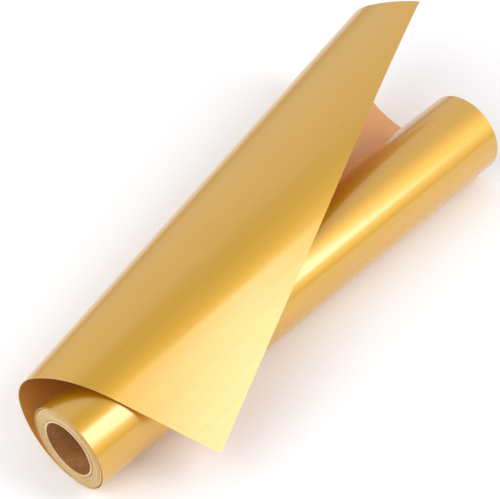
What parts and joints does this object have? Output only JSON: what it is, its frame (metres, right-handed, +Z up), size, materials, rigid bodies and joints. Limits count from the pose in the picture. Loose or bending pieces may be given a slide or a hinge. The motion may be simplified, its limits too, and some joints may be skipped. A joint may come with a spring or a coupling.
{
  "type": "roll of sign vinyl",
  "caption": "Roll of metallic sign film on a paper liner, wound on a paper core, with the last stretch of web pulled off and curled over the roll.",
  "frame": {"origin": "on the resting surface under the middle of the roll, on the roll's lowest line", "axes": "+X along the core from the near end to the far end, +Y towards the side on which the tail leaves the roll, +Z up"},
  "size_m": [0.326, 0.1484, 0.0768],
  "materials": {
    "film": "satin metallic gold face film",
    "liner": "silicone-coated glassine release paper, amber",
    "core": "kraft paper board, matt",
    "tape": "double-sided tape, translucent white"
  },
  "bodies": {
    "lap": {"outer_lap_film": "film", "outer_lap_liner": "liner", "lead_film": "film", "lead_liner": "liner"},
    "roll": {"core_inner_ply": "core", "core_body_ply": "core", "core_outer_ply": "core", "start_tape": "tape", "wound_film": "film", "wound_liner": "liner"},
    "curl": {"curl_film": "film", "curl_liner": "liner"},
    "flap": {"flap_film": "film", "flap_liner": "liner"}
  },
  "joints": [
    {"name": "roll_turns", "type": "hinge", "parent": "lap", "child": "roll", "pos_m": [0, 0, 0.024], "axis": [1, 0, 0], "continuous": true},
    {"name": "loop_opens", "type": "hinge", "parent": "lap", "child": "curl", "pos_m": [-0.15067, 0.03684, 0.02634], "axis": [-0.9838, -0.1757, -0.0355], "range_deg": [0, 75]},
    {"name": "flap_lifts", "type": "hinge", "parent": "curl", "child": "flap", "pos_m": [-0.1455, 0.0297, 0.04625], "axis": [-0.9843, -0.1651, -0.0619], "range_deg": [0, 60]}
  ]
}
